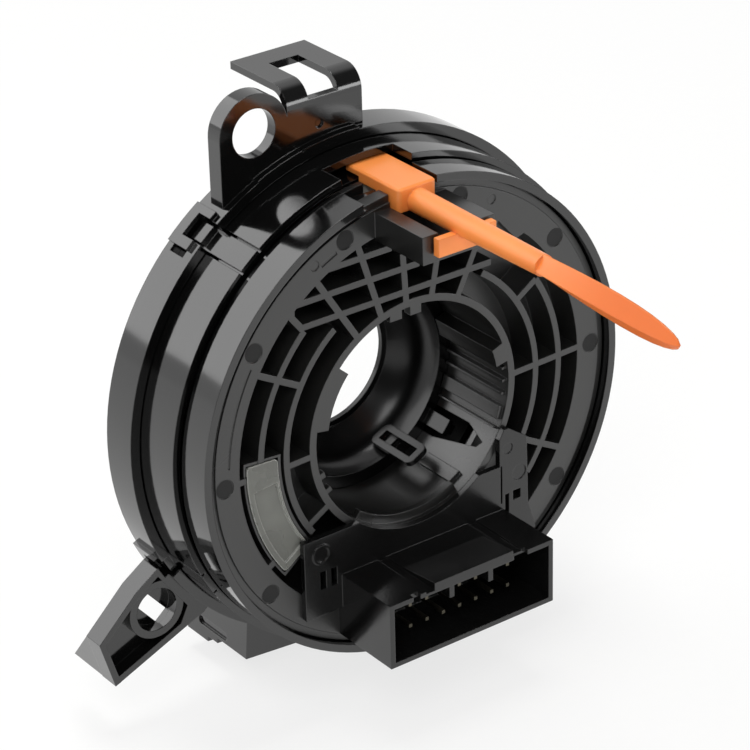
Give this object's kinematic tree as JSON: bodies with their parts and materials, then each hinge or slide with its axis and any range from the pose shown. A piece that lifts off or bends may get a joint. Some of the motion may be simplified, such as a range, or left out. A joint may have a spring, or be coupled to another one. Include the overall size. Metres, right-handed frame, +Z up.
{
  "type": "steering clock spring",
  "caption": "Round steering-column cable reel: a fixed ring shell with screw ear, bracket and arm, a turning ribbed face with a plug socket and sight window, and a pull-out shipping lock.",
  "frame": {"origin": "on the ring axis, at the open rear end of the column bore", "axes": "+Y along the ring axis towards the steering column, +Z up through the bracket and the shipping lock, +X to the driver's right; -Y faces the driver"},
  "size_m": [0.1208, 0.1189, 0.1286],
  "materials": {
    "gloss_black": "injection-moulded, polished black",
    "satin_black": "injection-moulded, satin black",
    "clear_window": "frosted clear moulding",
    "orange_lock": "injection-moulded, satin orange",
    "contact_metal": "tin-plated copper alloy",
    "cable_film": "laminated flat cable",
    "slip_film": "low-friction film"
  },
  "bodies": {
    "stator": {"rear_housing": "gloss_black", "middle_housing": "gloss_black", "outer_terminal": "satin_black", "rear_slip_sheet": "slip_film", "rear_pin_1": "contact_metal", "rear_pin_2": "contact_metal", "rear_pin_3": "contact_metal", "rear_pin_4": "contact_metal", "rear_pin_5": "contact_metal", "rear_pin_6": "contact_metal"},
    "rotor": {"rotor_face": "satin_black", "front_ring": "gloss_black", "rear_hub": "gloss_black", "front_connector": "gloss_black", "sight_window": "clear_window", "inner_terminal": "satin_black", "flat_cable": "cable_film", "front_slip_sheet": "slip_film", "front_pin_1": "contact_metal", "front_pin_2": "contact_metal", "front_pin_3": "contact_metal", "front_pin_4": "contact_metal", "front_pin_5": "contact_metal", "front_pin_6": "contact_metal", "front_pin_7": "contact_metal", "front_pin_8": "contact_metal", "front_pin_9": "contact_metal", "front_pin_10": "contact_metal", "front_pin_11": "contact_metal", "front_pin_12": "contact_metal", "front_pin_13": "contact_metal", "front_pin_14": "contact_metal"},
    "lock": {"shipping_lock": "orange_lock"}
  },
  "joints": [
    {"name": "rotor_turn", "type": "hinge", "parent": "stator", "child": "rotor", "pos_m": [0, 0, 0], "axis": [0, 1, 0], "range_deg": [-900, 900], "deforming": ["flat_cable"]},
    {"name": "lock_pull", "type": "slide", "parent": "rotor", "child": "lock", "axis": [0, -1, 0], "range_m": [0, 0.045]}
  ]
}
